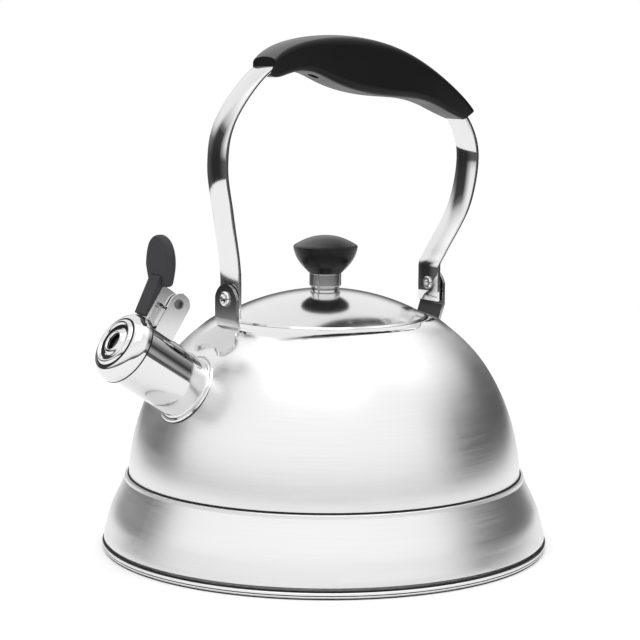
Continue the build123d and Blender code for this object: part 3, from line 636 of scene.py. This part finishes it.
class KETTLE_OT_stage(Operator):
    """Lay the pale floor, light the room and set the camera"""

    bl_idname = "kettle.stage"
    bl_label = "Stage"

    def execute(self, context):
        bpy.ops.object.select_all(action="DESELECT")
        bpy.ops.mesh.primitive_circle_add(
            vertices=96, radius=FLOOR_RADIUS, fill_type="NGON", location=(0, 0, 0))
        floor = context.object
        floor.name = "floor"
        material, tree, shader = new_material("pale_floor")
        place = add_node(tree, "ShaderNodeTexCoord").outputs["Object"]
        shade(tree, shader, noise(tree, place, 3.0, 2.0), FLOOR_LOW, FLOOR_HIGH)
        shader.inputs["Roughness"].default_value = 0.9
        shader.inputs["Specular IOR Level"].default_value = 0.0
        shader.inputs["Emission Color"].default_value = (1, 1, 1, 1)
        shader.inputs["Emission Strength"].default_value = FLOOR_GLOW
        floor.data.materials.append(material)
        light_the_stage(context.scene)
        set_camera(context.scene)
        return {"FINISHED"}


def set_camera(scene):
    """Camera looking slightly down at the kettle's front left."""
    right = CAMERA_AWAY.cross(UP).normalized()
    level = (CAMERA_AWAY - right * CAMERA_PAN).normalized()
    ahead = (level * cos(CAMERA_PITCH) - UP * sin(CAMERA_PITCH)).normalized()
    right = ahead.cross(UP).normalized()
    up = right.cross(ahead)
    rolled_right = right * cos(CAMERA_ROLL) + up * sin(CAMERA_ROLL)
    rolled_up = rolled_right.cross(ahead)
    data = bpy.data.cameras.new("camera")
    data.lens = CAMERA_LENS
    data.sensor_width = 36
    data.clip_end = CAMERA_REACH
    camera = bpy.data.objects.new("camera", data)
    scene.collection.objects.link(camera)
    camera.matrix_world = Matrix.Translation(CAMERA_PLACE) @ Matrix(
        (rolled_right, rolled_up, -ahead)).transposed().to_4x4()
    scene.camera = camera


def area_light(scene, name, place, target, size, energy):
    """A soft rectangular light aimed at a point."""
    data = bpy.data.lights.new(name, "AREA")
    data.shape = "RECTANGLE"
    data.size, data.size_y = size
    data.energy = energy
    light = bpy.data.objects.new(name, data)
    scene.collection.objects.link(light)
    light.location = place
    light.rotation_euler = (Vector(target) - Vector(place)).to_track_quat("-Z", "Y").to_euler()
    return light


def rising_grey(tree, rise, stops):
    """Brightness by height above the horizon."""
    node = add_node(tree, "ShaderNodeFloatCurve")
    curve = node.mapping.curves[0]
    node.mapping.use_clip = False
    points = [(position, grey / BRIGHTEST) for position, grey in stops]
    while len(curve.points) < len(points):
        curve.points.new(0.5, 0.5)
    for point, place in zip(curve.points, points):
        point.location = place
        point.handle_type = "VECTOR"
    node.mapping.update()
    tree.links.new(rise, node.inputs["Value"])
    return arithmetic(tree, "MULTIPLY", node.outputs[0], BRIGHTEST)


def between(tree, factor, low, high):
    """One value where the factor is 0, the other where it is 1."""
    node = add_node(tree, "ShaderNodeMix")
    tree.links.new(factor, node.inputs[0])
    tree.links.new(low, node.inputs[2])
    tree.links.new(high, node.inputs[3])
    return node.outputs[0]


def light_the_stage(scene):
    """A pale room, greyer behind the kettle than in front, with a large light overhead."""
    world = bpy.data.worlds.new("room")
    world.use_nodes = True
    scene.world = world
    tree = world.node_tree
    tree.nodes.clear()
    direction = add_node(tree, "ShaderNodeTexCoord").outputs["Generated"]
    split = add_node(tree, "ShaderNodeSeparateXYZ")
    tree.links.new(direction, split.inputs[0])
    level = add_node(tree, "ShaderNodeVectorMath", operation="MULTIPLY")
    level.inputs[1].default_value = (1, 1, 0)
    tree.links.new(direction, level.inputs[0])
    unit = add_node(tree, "ShaderNodeVectorMath", operation="NORMALIZE")
    tree.links.new(level.outputs[0], unit.inputs[0])
    facing = add_node(tree, "ShaderNodeVectorMath", operation="DOT_PRODUCT")
    facing.inputs[1].default_value = CAMERA_AWAY
    tree.links.new(unit.outputs[0], facing.inputs[0])
    rise = arithmetic(tree, "MAXIMUM", split.outputs["Z"], 0.0)
    walls = rising_grey(tree, rise, WALL_GREY)
    sweep = rising_grey(tree, rise, SWEEP_GREY)
    front = rising_grey(tree, rise, FRONT_GREY)
    sideways = add_node(tree, "ShaderNodeVectorMath", operation="DOT_PRODUCT")
    sideways.inputs[1].default_value = TO_THE_RIGHT
    tree.links.new(unit.outputs[0], sideways.inputs[0])
    side = spread(tree, sideways.outputs["Value"], -SIDES_MEET, SIDES_MEET, 0.0, 1.0)
    away = facing.outputs["Value"]
    behind_left, behind_right = [spread(tree, away, *edges, 0.0, 1.0) for edges in (SWEEP_LEFT, SWEEP_RIGHT)]
    before_left, before_right = [spread(tree, away, *edges, 0.0, 1.0) for edges in (FRONT_LEFT, FRONT_RIGHT)]
    behind = between(tree, side, behind_left, behind_right)
    before = between(tree, side, before_left, before_right)
    lit = between(tree, before, between(tree, behind, walls, sweep), front)
    room = add_node(tree, "ShaderNodeBackground")
    room.inputs["Color"].default_value = (1, 1, 1, 1)
    tree.links.new(lit, room.inputs["Strength"])
    paper = add_node(tree, "ShaderNodeBackground")
    paper.inputs["Color"].default_value = (1, 1, 1, 1)
    seen = add_node(tree, "ShaderNodeLightPath")
    mix = add_node(tree, "ShaderNodeMixShader")
    tree.links.new(seen.outputs["Is Camera Ray"], mix.inputs[0])
    tree.links.new(room.outputs[0], mix.inputs[1])
    tree.links.new(paper.outputs[0], mix.inputs[2])
    output = add_node(tree, "ShaderNodeOutputWorld")
    tree.links.new(mix.outputs[0], output.inputs["Surface"])
    area_light(scene, "overhead", OVERHEAD_PLACE, (0, 0, 0.1), (OVERHEAD_SIDE, OVERHEAD_SIDE), OVERHEAD_POWER)
    scene.view_settings.view_transform = "Standard"


class KETTLE_PT_panel(Panel):
    """Lists the kettle's sizes, finishes and pieces"""

    bl_label = "Whistling Kettle"
    bl_idname = "KETTLE_PT_panel"
    bl_space_type = "VIEW_3D"
    bl_region_type = "UI"
    bl_category = "Kettle"

    def draw(self, context):
        layout = self.layout
        for group in (context.scene.kettle_sizes, context.scene.kettle_finish):
            for key in group.__annotations__:
                layout.prop(group, key)
        for operator in OPERATORS:
            layout.operator(operator.bl_idname)


OPERATORS = (KETTLE_OT_finishes, KETTLE_OT_seam, KETTLE_OT_rim, KETTLE_OT_gaps, KETTLE_OT_whistle_cap,
             KETTLE_OT_strap, KETTLE_OT_stage)
CLASSES = (KettleFinish, KettleSizes) + OPERATORS + (KETTLE_PT_panel,)


def register():
    for cls in CLASSES:
        bpy.utils.register_class(cls)
    bpy.types.Scene.kettle_finish = PointerProperty(type=KettleFinish)
    bpy.types.Scene.kettle_sizes = PointerProperty(type=KettleSizes)


def unregister():
    del bpy.types.Scene.kettle_sizes
    del bpy.types.Scene.kettle_finish
    for cls in reversed(CLASSES):
        bpy.utils.unregister_class(cls)


def main():
    """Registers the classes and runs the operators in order."""
    register()
    for operator in OPERATORS:
        group, name = operator.bl_idname.split(".")
        getattr(getattr(bpy.ops, group), name)()


if __name__ == "__main__":
    main()
